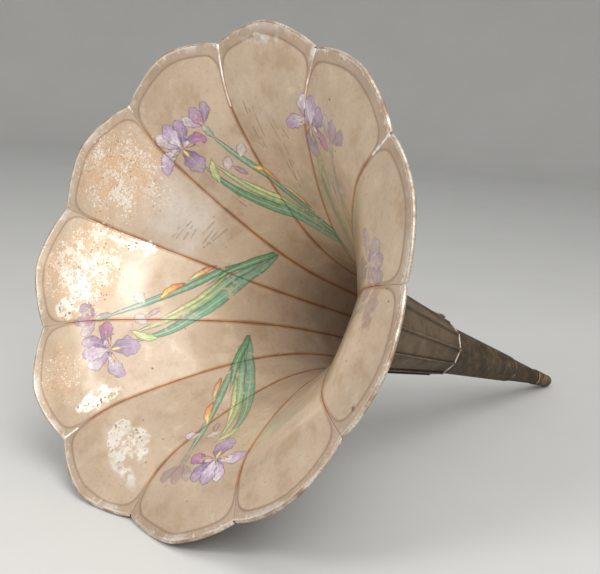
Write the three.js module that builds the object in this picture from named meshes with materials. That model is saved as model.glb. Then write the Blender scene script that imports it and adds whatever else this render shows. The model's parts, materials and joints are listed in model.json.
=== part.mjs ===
// Eleven-petal horn for a cylinder phonograph: a "morning glory" bell of eleven flat gores with
// rolled edges and folded seams, a two-piece round throat, a tip sleeve and a loose hanging ring.
// Millimetres. Every piece is first shaped about the horn's own axis (x up, z towards the tip,
// z = 0 through the notches of the mouth) and the whole horn is then laid down on its lowest two
// petals and its tip.
import * as THREE from "three";
import { mergeVertices } from "three/addons/utils/BufferGeometryUtils.js";

// ---- mouth and gores -------------------------------------------------------------------------
const PETALS = 11;
const STEP = (2 * Math.PI) / PETALS;
const HALF = STEP / 2;
const SHEET = 0.9;
const GAP = 0.3;
// The line of a seam leaves its notch at a slope to the horn's axis and bends in arcs that meet
// without corners. Each arc has a length and the slope at its end, in degrees.
const NOTCH_RADIUS = 245;
const NOTCH_SLOPE = 72;
const LIP_ARC = [34, 57];
const FLARE_ARCS = [
  [30, 69],
  [50, 44],
  [130, 31],
  [120, 7],
];
const NECK_END = [438.4, 35.3];
const SCALLOP = 25.2;
const SCALLOP_POWER = 1.59;

// ---- rolled rim ------------------------------------------------------------------------------
const ROLL_OUTER = 2.2;
const ROLL_INNER = ROLL_OUTER - SHEET;
const ROLL_SWEEP = 260;
const ROLL_STEPS = 6;
const ROLL_REACH = 0.96;
const RIM_WIRE_RADIUS = 0.95;

// ---- folded seams ----------------------------------------------------------------------------
const SEAM_START = 6;
const SEAM_GAP = 0.15;
const FLANGE_HEIGHT = 2.0;
const HOOK_UNDER = 2.3;
const HOOK_TOP = 3.2;
const HOOK_REACH = 1.35;
const HOOK_DROP = 0.95;

// ---- throat ----------------------------------------------------------------------------------
const ROUND_SIDES = 36;
const THROAT_START = 414;
const THROAT_MOUTH_RADIUS = 34.7;
const THROAT_END = 627;
const THROAT_RADIUS = 33.0;
const THROAT_END_RADIUS = 18.5;
const LOWER_START = 607;
const LOWER_END = 751;
const LOWER_END_RADIUS = 7.1;
const SLEEVE_START = 711;
const SLEEVE_END = 756.7;
const SLEEVE_START_RADIUS = 11.7;
const SLEEVE_END_RADIUS = 8.4;

// ---- collar bead round the small end of the gores ----------------------------------------------
const COLLAR_START = NECK_END[0] + 0.4;
const COLLAR_WIDTH = 2.8;
const COLLAR_INNER = 33.4;
const COLLAR_OUTER = 36.0;
const COLLAR_BEVEL = 0.7;

// ---- hanging ring and its eye ------------------------------------------------------------------
const EYE_DEPTH = 430.5;
const EYE_WIDTH = 4;
const EYE_FOOT_LENGTH = 12;
const EYE_FOOT_THICK = 1.0;
const EYE_HOLE = 1.5;
const EYE_OUTER = 2.5;
const EYE_HEIGHT = 4.7;
const RING_RADIUS = 10;
const RING_WIRE = 1.0;

// ---- looks -------------------------------------------------------------------------------------
const PAINT = { color: 0xb89e78, roughness: 0.45, metalness: 0.0 };
const THROAT_PAINT = { color: 0x6e5c48, roughness: 0.6, metalness: 0.0 };
const WORN_STEEL = { color: 0xb9b2a4, roughness: 0.4, metalness: 1.0 };
const DARK_WIRE = { color: 0x5a524a, roughness: 0.5, metalness: 1.0 };

const group = new THREE.Group();
const horn = new THREE.Group();
group.add(horn);

function addPiece(name, geometry, look) {
  const mesh = new THREE.Mesh(geometry, new THREE.MeshStandardMaterial(look));
  mesh.name = name;
  horn.add(mesh);
  return mesh;
}

// ---- the seam line as arcs, then a straight neck -------------------------------------------------
const ARC_STEPS = 48;

// Points along arcs that start at the notch. `way` is 1 towards the neck and -1 out to the lip.
function arcsFromNotch(arcs, way) {
  const points = [];
  const place = new THREE.Vector2(0, NOTCH_RADIUS);
  let slope = NOTCH_SLOPE;
  for (const [length, endSlope] of arcs) {
    for (let i = 0; i < ARC_STEPS; i += 1) {
      const share = (i + 0.5) / ARC_STEPS;
      const heading = THREE.MathUtils.degToRad(slope + (endSlope - slope) * share);
      const travel = new THREE.Vector2(Math.cos(heading), -Math.sin(heading));
      place.addScaledVector(travel, (way * length) / ARC_STEPS);
      points.push(place.clone());
    }
    slope = endSlope;
  }
  return points;
}

// Gives, for a distance along the seam measured from the notch, the depth, the radius and the
// direction of travel.
function makeSeamLine() {
  const lip = arcsFromNotch([LIP_ARC], -1).reverse();
  const flare = arcsFromNotch(FLARE_ARCS, 1);
  const neckEnd = new THREE.Vector2(...NECK_END);
  const neckLength = neckEnd.distanceTo(flare[flare.length - 1]);
  const samples = [...lip, new THREE.Vector2(0, NOTCH_RADIUS), ...flare, neckEnd];
  const run = [0];
  for (let i = 1; i < samples.length; i += 1) {
    run.push(run[i - 1] + samples[i].distanceTo(samples[i - 1]));
  }
  const zero = run[lip.length];
  const distances = run.map((value) => value - zero);
  const length = distances[distances.length - 1];
  function at(distance) {
    let i = 0;
    while (i < samples.length - 2 && distances[i + 1] < distance) i += 1;
    const t = (distance - distances[i]) / (distances[i + 1] - distances[i]);
    const depth = samples[i].x + (samples[i + 1].x - samples[i].x) * t;
    const radius = samples[i].y + (samples[i + 1].y - samples[i].y) * t;
    const step = distances[i + 1] - distances[i];
    const along = (samples[i + 1].x - samples[i].x) / step;
    const across = (samples[i + 1].y - samples[i].y) / step;
    return { depth, radius, along, across };
  }
  return { at, length, flareEnd: length - neckLength };
}

const seamLine = makeSeamLine();

// Unit vectors of the horn: radial and tangential at an angle from the top.
function radial(angle) {
  return new THREE.Vector3(Math.cos(angle), Math.sin(angle), 0);
}

function tangential(angle) {
  return new THREE.Vector3(-Math.sin(angle), Math.cos(angle), 0);
}

const AXIAL = new THREE.Vector3(0, 0, 1);

// The back-facing normal of a flat gore at a distance along its seams.
function gorePlane(distance, angle) {
  const line = seamLine.at(distance);
  const outward = line.along;
  const rearward = -line.across * Math.cos(HALF);
  const size = Math.hypot(outward, rearward);
  const normal = radial(angle).multiplyScalar(outward / size);
  normal.addScaledVector(AXIAL, rearward / size);
  return { line, normal, outward: outward / size, rearward: rearward / size };
}

// A point of a gore's sheet: `across` runs from -1 at one seam to 1 at the other, `lift` is the
// distance off the middle of the sheet.
function gorePoint(angle, distance, across, lift) {
  const { line, normal } = gorePlane(distance, angle);
  const point = radial(angle).multiplyScalar(line.radius * Math.cos(HALF));
  point.addScaledVector(tangential(angle), across * line.radius * Math.sin(HALF));
  point.addScaledVector(AXIAL, line.depth);
  point.addScaledVector(normal, lift);
  return point;
}

// A point of a gore's sheet at a given distance `inset` from the plane of one of its seams.
// `side` is -1 for the first seam and 1 for the second.
function goreBesideSeam(angle, distance, side, inset, lift) {
  const { line, outward, rearward } = gorePlane(distance, angle);
  const height = line.radius * Math.cos(HALF) + outward * lift;
  const offset = (inset - height * Math.sin(HALF)) / Math.cos(HALF);
  const point = radial(angle).multiplyScalar(height);
  point.addScaledVector(tangential(angle), -side * offset);
  point.addScaledVector(AXIAL, line.depth + rearward * lift);
  return point;
}

// A point of a seam fold: `inset` from the seam's plane towards the gore that owns the fold,
// `height` above the seam line.
function foldPoint(seamAngle, distance, towards, inset, height) {
  const line = seamLine.at(distance);
  const point = radial(seamAngle).multiplyScalar(line.radius + line.along * height);
  point.addScaledVector(AXIAL, line.depth - line.across * height);
  point.addScaledVector(tangential(seamAngle), towards * inset);
  return point;
}

// Where the scalloped edge lies, as a distance along the seams (negative is beyond the notch).
function scallop(across) {
  return -SCALLOP * (1 - Math.min(1, Math.abs(across)) ** SCALLOP_POWER);
}

// ---- one stamped gore with its rolled rim, hooked fold and plain fold ------------------------------
const ROLL_COLUMNS = [-ROLL_REACH, -0.8, -0.6, -0.4, -0.2, 0, 0.2, 0.4, 0.6, 0.8, ROLL_REACH];
const RIM_ROWS = 3;
const FLARE_ROWS = 14;

function makePetal(index) {
  const angle = index * STEP;
  const firstSeam = angle - HALF;
  const secondSeam = angle + HALF;
  const corners = [];

  function quad(a, b, c, d) {
    [a, b, c, a, c, d].forEach((point) => corners.push(point.x, point.y, point.z));
  }

  function triangle(a, b, c) {
    [a, b, c].forEach((point) => corners.push(point.x, point.y, point.z));
  }

  // One point of column j of the rim zone; share is 0 at the edge and 1 where the seams start.
  const inset = SEAM_GAP + SHEET;
  const columnCount = ROLL_COLUMNS.length + 4;
  const lastColumn = columnCount - 1;

  function rimPoint(j, share, lift) {
    const side = j < columnCount / 2 ? -1 : 1;
    const beside = j < 2 || j > lastColumn - 2;
    if (beside) {
      const edge = j === 0 || j === lastColumn;
      const across = edge ? 1 : 1 - inset / (245 * Math.sin(HALF));
      const distance = scallop(across) * (1 - share) + SEAM_START * share;
      return goreBesideSeam(angle, distance, side, edge ? SEAM_GAP : inset, lift);
    }
    const across = ROLL_COLUMNS[j - 2];
    const distance = scallop(across) * (1 - share) + SEAM_START * share;
    return gorePoint(angle, distance, across, lift);
  }

  // The sheet between the scalloped edge and the start of the seams.
  const front = [];
  const back = [];
  for (let i = 0; i <= RIM_ROWS; i += 1) {
    const share = i / RIM_ROWS;
    front.push(Array.from({ length: columnCount }, (_, j) => rimPoint(j, share, -SHEET / 2)));
    back.push(Array.from({ length: columnCount }, (_, j) => rimPoint(j, share, SHEET / 2)));
  }
  for (let i = 0; i < RIM_ROWS; i += 1) {
    for (let j = 0; j < lastColumn; j += 1) {
      quad(back[i][j], back[i][j + 1], back[i + 1][j + 1], back[i + 1][j]);
      quad(front[i][j + 1], front[i][j], front[i + 1][j], front[i + 1][j + 1]);
    }
    quad(front[i][0], back[i][0], back[i + 1][0], front[i + 1][0]);
    quad(back[i][lastColumn], front[i][lastColumn], front[i + 1][lastColumn], back[i + 1][lastColumn]);
  }

  // Plain cut edge at the two corners, where the roll stops short of the notches.
  [0, 1, lastColumn - 2, lastColumn - 1].forEach((j) => {
    quad(front[0][j], front[0][j + 1], back[0][j + 1], back[0][j]);
  });

  // The rolled rim, curling to the back of the sheet.
  const outerArc = [];
  const innerArc = [];
  for (let j = 2; j <= lastColumn - 2; j += 1) {
    const frame = rollFrame(angle, ROLL_COLUMNS[j - 2]);
    outerArc.push(arcPoints(frame, ROLL_OUTER, front[0][j]));
    innerArc.push(arcPoints(frame, ROLL_INNER, back[0][j]));
  }
  const lastRoll = outerArc.length - 1;
  for (let j = 0; j < lastRoll; j += 1) {
    for (let m = 0; m < ROLL_STEPS; m += 1) {
      quad(outerArc[j][m], outerArc[j + 1][m], outerArc[j + 1][m + 1], outerArc[j][m + 1]);
      quad(innerArc[j][m], innerArc[j][m + 1], innerArc[j + 1][m + 1], innerArc[j + 1][m]);
    }
    const m = ROLL_STEPS;
    quad(outerArc[j][m], outerArc[j + 1][m], innerArc[j + 1][m], innerArc[j][m]);
  }
  for (let m = 0; m < ROLL_STEPS; m += 1) {
    const far = lastRoll;
    quad(outerArc[0][m], outerArc[0][m + 1], innerArc[0][m + 1], innerArc[0][m]);
    quad(outerArc[far][m + 1], outerArc[far][m], innerArc[far][m], innerArc[far][m + 1]);
  }

  // Outline of the gore with its folds, once round, at a distance along the seams.
  function outline(distance) {
    const hook = (x, h) => foldPoint(firstSeam, distance, 1, x, h);
    const plain = (x, h) => foldPoint(secondSeam, distance, -1, x, h);
    const beside = (side, x, lift) => goreBesideSeam(angle, distance, side, x, lift);
    return [
      beside(-1, SEAM_GAP, -SHEET / 2),
      beside(-1, SEAM_GAP, SHEET / 2),
      hook(SEAM_GAP, HOOK_UNDER),
      hook(-HOOK_REACH, HOOK_UNDER),
      hook(-HOOK_REACH, HOOK_DROP),
      hook(-HOOK_REACH - SHEET, HOOK_DROP),
      hook(-HOOK_REACH - SHEET, HOOK_TOP),
      hook(inset, HOOK_TOP),
      beside(-1, inset, SHEET / 2),
      beside(1, inset, SHEET / 2),
      plain(inset, FLANGE_HEIGHT),
      plain(SEAM_GAP, FLANGE_HEIGHT),
      beside(1, SEAM_GAP, SHEET / 2),
      beside(1, SEAM_GAP, -SHEET / 2),
    ];
  }

  const stations = [SEAM_START];
  for (let i = 1; i <= FLARE_ROWS; i += 1) {
    const share = i / FLARE_ROWS;
    stations.push(SEAM_START + (seamLine.flareEnd - SEAM_START) * (0.55 * share + 0.45 * share ** 2));
  }
  stations.push(seamLine.length);
  const rings = stations.map(outline);
  const size = rings[0].length;
  for (let i = 0; i < rings.length - 1; i += 1) {
    for (let j = 0; j < size; j += 1) {
      const next = (j + 1) % size;
      const backFace = j === 8;
      const frontFace = j === 13;
      if (i === 0 && backFace) {
        fan(back[RIM_ROWS].slice(1, lastColumn), rings[1][8], rings[1][9]);
      } else if (i === 0 && frontFace) {
        fan(front[RIM_ROWS].slice().reverse(), rings[1][13], rings[1][0]);
      } else {
        quad(rings[i][j], rings[i][next], rings[i + 1][next], rings[i + 1][j]);
      }
    }
  }

  // Joins a row of many columns to the first plain row behind it.
  function fan(row, nearCorner, farCorner) {
    const middle = Math.floor((row.length - 1) / 2);
    for (let j = 0; j < middle; j += 1) triangle(row[j], row[j + 1], nearCorner);
    triangle(row[middle], farCorner, nearCorner);
    for (let j = middle; j < row.length - 1; j += 1) triangle(row[j], row[j + 1], farCorner);
  }

  // Cut ends of the folds near the notches.
  const start = rings[0];
  quad(start[1], start[8], start[7], start[2]);
  quad(start[2], start[7], start[6], start[3]);
  quad(start[3], start[6], start[5], start[4]);
  quad(start[9], start[12], start[11], start[10]);

  // Cut end at the collar.
  const end = rings[rings.length - 1];
  quad(end[2], end[7], end[8], end[1]);
  quad(end[3], end[6], end[7], end[2]);
  quad(end[4], end[5], end[6], end[3]);
  quad(end[10], end[11], end[12], end[9]);
  triangle(end[0], end[1], end[8]);
  triangle(end[0], end[8], end[9]);
  triangle(end[0], end[9], end[13]);
  triangle(end[13], end[9], end[12]);

  const geometry = new THREE.BufferGeometry();
  geometry.setAttribute("position", new THREE.Float32BufferAttribute(corners, 3));
  const closed = mergeVertices(geometry, 0.001);
  closed.computeVertexNormals();
  return closed;
}

// The directions at one place of the scalloped edge: out of the sheet, and to its back.
function rollFrame(angle, across) {
  const SMALL = 0.002;
  const before = gorePoint(angle, scallop(across - SMALL), across - SMALL, 0);
  const after = gorePoint(angle, scallop(across + SMALL), across + SMALL, 0);
  const along = after.sub(before).normalize();
  const { normal } = gorePlane(scallop(across), angle);
  const outwards = new THREE.Vector3().crossVectors(normal, along).normalize();
  if (outwards.z > 0) outwards.negate();
  return { normal, outwards };
}

function arcPoints({ normal, outwards }, radius, root) {
  const centre = root.clone().addScaledVector(normal, radius);
  const points = [root];
  for (let m = 1; m <= ROLL_STEPS; m += 1) {
    const turn = THREE.MathUtils.degToRad(-90 + (ROLL_SWEEP * m) / ROLL_STEPS);
    const point = centre.clone().addScaledVector(outwards, radius * Math.cos(turn));
    points.push(point.addScaledVector(normal, radius * Math.sin(turn)));
  }
  return points;
}

// ---- the stiffening wire inside one rolled rim -----------------------------------------------------
function makeRimWire(index) {
  const angle = index * STEP;
  const SIDES = 6;
  const corners = [];
  const rings = ROLL_COLUMNS.map((across) => {
    const { normal, outwards } = rollFrame(angle, across);
    const centre = gorePoint(angle, scallop(across), across, ROLL_OUTER - SHEET / 2);
    return Array.from({ length: SIDES }, (_, j) => {
      const turn = (2 * Math.PI * j) / SIDES;
      const point = centre.clone().addScaledVector(outwards, RIM_WIRE_RADIUS * Math.cos(turn));
      return point.addScaledVector(normal, RIM_WIRE_RADIUS * Math.sin(turn));
    });
  });
  function triangle(a, b, c) {
    [a, b, c].forEach((point) => corners.push(point.x, point.y, point.z));
  }
  for (let i = 0; i < rings.length - 1; i += 1) {
    for (let j = 0; j < SIDES; j += 1) {
      const next = (j + 1) % SIDES;
      triangle(rings[i][j], rings[i + 1][j], rings[i + 1][next]);
      triangle(rings[i][j], rings[i + 1][next], rings[i][next]);
    }
  }
  const first = rings[0];
  const last = rings[rings.length - 1];
  for (let j = 1; j < SIDES - 1; j += 1) {
    triangle(first[0], first[j], first[j + 1]);
    triangle(last[0], last[j + 1], last[j]);
  }
  const geometry = new THREE.BufferGeometry();
  geometry.setAttribute("position", new THREE.Float32BufferAttribute(corners, 3));
  const closed = mergeVertices(geometry, 0.001);
  closed.computeVertexNormals();
  return closed;
}

for (let i = 0; i < PETALS; i += 1) {
  const number = String(i + 1).padStart(2, "0");
  addPiece(`petal_${number}`, makePetal(i), PAINT);
  addPiece(`rim_wire_${number}`, makeRimWire(i), DARK_WIRE);
}

// ---- round pieces, turned about the horn's axis ------------------------------------------------------
// The outline goes once round the section as radius and depth pairs.
function turned(outlinePoints) {
  const points = outlinePoints.map(([radius, depth]) => new THREE.Vector2(radius, depth));
  points.push(points[0].clone());
  const geometry = new THREE.LatheGeometry(points, ROUND_SIDES);
  geometry.rotateX(Math.PI / 2);
  return geometry;
}

const throatWall = SHEET;
addPiece(
  "throat_cone",
  turned([
    [THROAT_MOUTH_RADIUS - throatWall, THROAT_START],
    [THROAT_MOUTH_RADIUS, THROAT_START],
    [THROAT_RADIUS, NECK_END[0]],
    [THROAT_END_RADIUS, THROAT_END],
    [THROAT_END_RADIUS - throatWall, THROAT_END],
    [THROAT_RADIUS - throatWall, NECK_END[0]],
  ]),
  THROAT_PAINT,
);

// Radius of the throat's inside at a depth, so that the lower cone nests in it with a gap.
function throatInside(depth) {
  const share = (depth - NECK_END[0]) / (THROAT_END - NECK_END[0]);
  return THROAT_RADIUS + (THROAT_END_RADIUS - THROAT_RADIUS) * share - throatWall;
}

const lowerStartRadius = throatInside(LOWER_START) - GAP;
const lowerLipRadius = throatInside(THROAT_END) - GAP;
addPiece(
  "lower_cone",
  turned([
    [lowerStartRadius - SHEET, LOWER_START],
    [lowerStartRadius, LOWER_START],
    [lowerLipRadius, THROAT_END],
    [LOWER_END_RADIUS, LOWER_END],
    [LOWER_END_RADIUS - SHEET, LOWER_END],
    [lowerLipRadius - SHEET, THROAT_END],
  ]),
  THROAT_PAINT,
);

addPiece(
  "tip_sleeve",
  turned([
    [SLEEVE_START_RADIUS - SHEET, SLEEVE_START],
    [SLEEVE_START_RADIUS, SLEEVE_START],
    [SLEEVE_END_RADIUS, SLEEVE_END],
    [SLEEVE_END_RADIUS - SHEET, SLEEVE_END],
  ]),
  WORN_STEEL,
);

// ---- eleven-sided collar bead --------------------------------------------------------------------------
function makeCollar() {
  const end = COLLAR_START + COLLAR_WIDTH;
  const section = [
    [COLLAR_INNER, COLLAR_START],
    [COLLAR_OUTER - COLLAR_BEVEL, COLLAR_START],
    [COLLAR_OUTER, COLLAR_START + COLLAR_BEVEL],
    [COLLAR_OUTER, end - COLLAR_BEVEL],
    [COLLAR_OUTER - COLLAR_BEVEL, end],
    [COLLAR_INNER, end],
    [COLLAR_INNER, COLLAR_START],
  ];
  const points = section.map(([flat, depth]) => new THREE.Vector2(flat / Math.cos(HALF), depth));
  const geometry = new THREE.LatheGeometry(points, PETALS);
  geometry.rotateX(Math.PI / 2);
  geometry.rotateZ(HALF + Math.PI / 2);
  return geometry;
}

addPiece("collar_bead", makeCollar(), WORN_STEEL);

// ---- hanging ring in its eye, on the flat of the uppermost gore ------------------------------------------
const neckStart = seamLine.at(seamLine.flareEnd);
const neckTaper = (neckStart.radius - NECK_END[1]) / (NECK_END[0] - neckStart.depth);
const neckSlope = Math.atan(neckTaper * Math.cos(HALF));

// Height of the neck's outer face above the axis at a depth.
function neckFace(depth) {
  const middle = (NECK_END[1] + (NECK_END[0] - depth) * neckTaper) * Math.cos(HALF);
  return middle + SHEET / 2 / Math.cos(neckSlope);
}

// Places geometry made flat (x forwards to the tip, y off the neck, z across) on the neck.
function seatOnNeck(geometry) {
  const towardsTip = new THREE.Vector3(-Math.sin(neckSlope), 0, Math.cos(neckSlope));
  const offNeck = new THREE.Vector3(Math.cos(neckSlope), 0, Math.sin(neckSlope));
  const sideways = new THREE.Vector3().crossVectors(towardsTip, offNeck);
  const matrix = new THREE.Matrix4().makeBasis(towardsTip, offNeck, sideways);
  matrix.setPosition(neckFace(EYE_DEPTH), 0, EYE_DEPTH);
  return geometry.applyMatrix4(matrix);
}

function makeEye() {
  const outline = new THREE.Shape();
  const footLow = GAP;
  const footHigh = GAP + EYE_FOOT_THICK;
  const webHalf = 1.2;
  const webTop = EYE_HEIGHT - Math.sqrt(EYE_OUTER ** 2 - webHalf ** 2);
  const startTurn = Math.atan2(webTop - EYE_HEIGHT, webHalf);
  const endTurn = Math.PI - startTurn;
  outline.moveTo(-EYE_FOOT_LENGTH / 2, footLow);
  outline.lineTo(EYE_FOOT_LENGTH / 2, footLow);
  outline.lineTo(EYE_FOOT_LENGTH / 2, footHigh);
  outline.lineTo(webHalf, footHigh);
  outline.lineTo(webHalf, webTop);
  outline.absarc(0, EYE_HEIGHT, EYE_OUTER, startTurn, endTurn, false);
  outline.lineTo(-webHalf, footHigh);
  outline.lineTo(-EYE_FOOT_LENGTH / 2, footHigh);
  outline.closePath();
  const hole = new THREE.Path();
  hole.absarc(0, EYE_HEIGHT, EYE_HOLE, 0, 2 * Math.PI, true);
  outline.holes.push(hole);
  const geometry = new THREE.ExtrudeGeometry(outline, {
    depth: EYE_WIDTH,
    bevelEnabled: false,
    curveSegments: 10,
  });
  geometry.translate(0, 0, -EYE_WIDTH / 2);
  return seatOnNeck(geometry);
}

function makeRing() {
  const geometry = new THREE.TorusGeometry(RING_RADIUS, RING_WIRE, 8, 32);
  geometry.rotateX(Math.PI / 2);
  geometry.translate(-RING_RADIUS, EYE_HEIGHT, 0);
  return seatOnNeck(geometry);
}

addPiece("ring_eye", makeEye(), WORN_STEEL);
addPiece("hanging_ring", makeRing(), DARK_WIRE);

// ---- lay the horn down ---------------------------------------------------------------------------------------
// With the mouth's notch number six straight down, the horn rests on the two petals beside it
// and on the tip sleeve. The tilt is found so that both ends touch the ground together.
function lowest(tilt, names) {
  let low = Infinity;
  const point = new THREE.Vector3();
  horn.children.filter((mesh) => names.includes(mesh.name)).forEach((mesh) => {
    const places = mesh.geometry.attributes.position;
    for (let i = 0; i < places.count; i += 1) {
      point.fromBufferAttribute(places, i);
      low = Math.min(low, point.x * Math.cos(tilt) - point.z * Math.sin(tilt));
    }
  });
  return low;
}

let shallow = 0;
let steep = Math.PI / 4;
for (let i = 0; i < 50; i += 1) {
  const middle = (shallow + steep) / 2;
  const mouthIsLower = lowest(middle, ["petal_06", "petal_07"]) < lowest(middle, ["tip_sleeve"]);
  if (mouthIsLower) shallow = middle;
  else steep = middle;
}
const tilt = (shallow + steep) / 2;
const up = new THREE.Vector3(Math.sin(tilt), 0, Math.cos(tilt));
const forwards = new THREE.Vector3(Math.cos(tilt), 0, -Math.sin(tilt));
const aside = new THREE.Vector3().crossVectors(forwards, up);
const pose = new THREE.Matrix4().makeBasis(up, aside, forwards);
horn.children.forEach((mesh) => mesh.geometry.applyMatrix4(pose));

// Stand it on the ground, with the middle of its plan over the origin.
const box = new THREE.Box3();
horn.children.forEach((mesh) => {
  mesh.geometry.computeBoundingBox();
  box.union(mesh.geometry.boundingBox);
});
const middle = box.getCenter(new THREE.Vector3());
horn.children.forEach((mesh) => mesh.geometry.translate(-middle.x, -middle.y, -box.min.z));

export default group;
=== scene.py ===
import json
import math
import bpy
import numpy as np
from mathutils import Matrix


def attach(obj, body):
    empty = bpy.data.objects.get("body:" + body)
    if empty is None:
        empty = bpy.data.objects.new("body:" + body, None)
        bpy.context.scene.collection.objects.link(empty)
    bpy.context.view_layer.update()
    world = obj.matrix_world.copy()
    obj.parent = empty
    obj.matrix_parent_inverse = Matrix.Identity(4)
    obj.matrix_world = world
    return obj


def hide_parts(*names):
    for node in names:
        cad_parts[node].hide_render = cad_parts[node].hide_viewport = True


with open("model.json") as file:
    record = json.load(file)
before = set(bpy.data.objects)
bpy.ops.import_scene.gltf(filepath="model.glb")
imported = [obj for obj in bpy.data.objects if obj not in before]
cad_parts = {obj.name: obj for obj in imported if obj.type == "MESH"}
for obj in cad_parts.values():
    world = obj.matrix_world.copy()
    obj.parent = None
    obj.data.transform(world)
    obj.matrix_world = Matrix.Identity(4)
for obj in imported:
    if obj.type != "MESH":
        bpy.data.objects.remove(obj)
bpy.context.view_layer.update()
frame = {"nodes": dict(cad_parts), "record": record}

# ---- sizes of the horn, in mm, as in the CAD source --------------------------------------------
# The scallop, the roll and the ring's wire are slightly smaller than in the source, so that the
# visible pieces stay inside it.
PETALS = 11
STEP = 2 * math.pi / PETALS
HALF = STEP / 2
COS_HALF, TAN_HALF = math.cos(HALF), math.tan(HALF)
SHEET = 0.9
NOTCH_RADIUS = 245
NOTCH_SLOPE = 72
LIP_ARC = [(34, 57)]
FLARE_ARCS = [(30, 69), (50, 44), (130, 31), (120, 7)]
ARC_STEPS = 48
NECK_STEPS = 20
NECK_END = (438.4, 35.3)
SCALLOP = 24.8
SCALLOP_POWER = 1.59
ROLL = 2.0
SLEEVE_END = 756.7
SLEEVE_WALL = 7.95
EYE_DEPTH = 430.5
EYE_HEIGHT = 4.7
RING_RADIUS = 10
RING_WIRE = 0.97
# Half the gap between two gores at a seam.
SEAM_GAP = 0.15

# The horn's own axes: up, aside and towards the tip, found from the tip's end face.
tip_face = next(m for m in frame["record"]["mounts"] if m["name"] == "tip_end_face")
AXIS = np.array(tip_face["axis"])
UP = np.array([-AXIS[2], 0, AXIS[0]])
AXES = np.array([UP, [0, -1, 0], AXIS])
TILT = math.asin(-AXIS[2])
ORIGIN = np.array(tip_face["pos_m"]) * 1000 - SLEEVE_WALL * UP - SLEEVE_END * AXIS


def to_world(points):
    return (ORIGIN + points @ AXES) / 1000


def smooth(low, high, x):
    t = np.clip((x - low) / (high - low), 0, 1)
    return t * t * (3 - 2 * t)


def turned_by(phi, start):
    """How far phi lies round from start, in degrees from -180 to 180."""
    return (phi - start + 180) % 360 - 180


def arcs_from_notch(arcs, way):
    """Points (depth, radius) along arcs of a given length and end slope that start at the notch."""
    place = np.array([0.0, NOTCH_RADIUS])
    slope = NOTCH_SLOPE
    points = []
    for length, end_slope in arcs:
        for i in range(ARC_STEPS):
            heading = math.radians(slope + (end_slope - slope) * (i + 0.5) / ARC_STEPS)
            place = place + way * length / ARC_STEPS * np.array([math.cos(heading), -math.sin(heading)])
            points.append(place)
        slope = end_slope
    return points


def seam_line():
    """The seam line: distance from the notch, depth and radius, as in the CAD source."""
    lip = arcs_from_notch(LIP_ARC, -1)[::-1]
    flare = np.array(arcs_from_notch(FLARE_ARCS, 1))
    shares = np.linspace(0, 1, NECK_STEPS + 1)[1:, None]
    neck = flare[-1] + shares * (np.array(NECK_END) - flare[-1])
    points = np.concatenate([lip, [[0, NOTCH_RADIUS]], flare, neck])
    run = np.concatenate([[0], np.cumsum(np.hypot(*np.diff(points, axis=0).T))])
    return run - run[len(lip)], points[:, 0], points[:, 1], flare[-1]


RUN, DEPTH, RADIUS, NECK_START = seam_line()
ALONG, ACROSS = np.gradient(DEPTH, RUN), np.gradient(RADIUS, RUN)
LENGTH = RUN[-1]


def gore(angle, s, v, lift):
    """A point of a gore: s along the seams, v from -1 to 1 across, lift towards the back."""
    radius, depth = np.interp(s, RUN, RADIUS), np.interp(s, RUN, DEPTH)
    outward = np.interp(s, RUN, ALONG)
    rearward = -np.interp(s, RUN, ACROSS) * COS_HALF
    size = np.hypot(outward, rearward)
    outward, rearward = outward / size, rearward / size
    height = radius * COS_HALF + outward * lift
    aside = v * (height * TAN_HALF - SEAM_GAP / COS_HALF)
    point = np.stack([math.cos(angle) * height - math.sin(angle) * aside,
                      math.sin(angle) * height + math.cos(angle) * aside,
                      depth + rearward * lift], -1)
    return point, height, aside


def fold(angle, s, aside, height):
    """A point beside a seam: aside round the horn, height off the seam line to the back."""
    along, across = np.interp(s, RUN, ALONG), np.interp(s, RUN, ACROSS)
    radius = np.interp(s, RUN, RADIUS) + along * height
    depth = np.interp(s, RUN, DEPTH) - across * height
    return np.stack([math.cos(angle) * radius - math.sin(angle) * aside,
                     math.sin(angle) * radius + math.cos(angle) * aside,
                     depth], -1)


def edge_at(v):
    return -SCALLOP * (1 - np.minimum(1, np.abs(v)) ** SCALLOP_POWER)


# ---- random wear, the same every time ----------------------------------------------------------
CELLS = 64
LATTICE = np.random.default_rng(11).random((CELLS, CELLS, CELLS))


def noise(points, size, seed=0):
    """Smooth noise from 0 to 1 with features of the given size in mm."""
    q = points / size + np.array([3.1, 7.7, 5.3]) * (seed + 1)
    cell = np.floor(q).astype(int)
    f = q - cell
    f = f * f * (3 - 2 * f)
    total = 0
    for corner in range(8):
        step = np.array([corner & 1, corner >> 1 & 1, corner >> 2 & 1])
        weight = np.prod(np.where(step, f, 1 - f), axis=-1)
        x, y, z = np.moveaxis((cell + step) % CELLS, -1, 0)
        total = total + weight * LATTICE[x, y, z]
    return total


def rough_noise(points, size, seed=0):
    return (noise(points, size, seed) * 0.55 + noise(points, size / 2.3, seed + 3) * 0.3
            + noise(points, size / 5.1, seed + 5) * 0.15)


# ---- pictures painted on the sheets ------------------------------------------------------------
def linear(colour):
    c = np.array(colour, float) / 255
    return np.where(c <= 0.04045, c / 12.92, ((c + 0.055) / 1.055) ** 2.4)


def smooth_path(points, steps=6):
    """A smooth open line through the points."""
    p = np.array(points, float)
    p = np.concatenate([[2 * p[0] - p[1]], p, [2 * p[-1] - p[-2]]])
    line = []
    for a, b, c, d in zip(p, p[1:], p[2:], p[3:]):
        for t in np.arange(steps) / steps:
            line.append(0.5 * (2 * b + (c - a) * t + (2 * a - 5 * b + 4 * c - d) * t**2
                               + (3 * b - a - 3 * c + d) * t**3))
    return np.array(line + [p[-2]])


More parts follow.
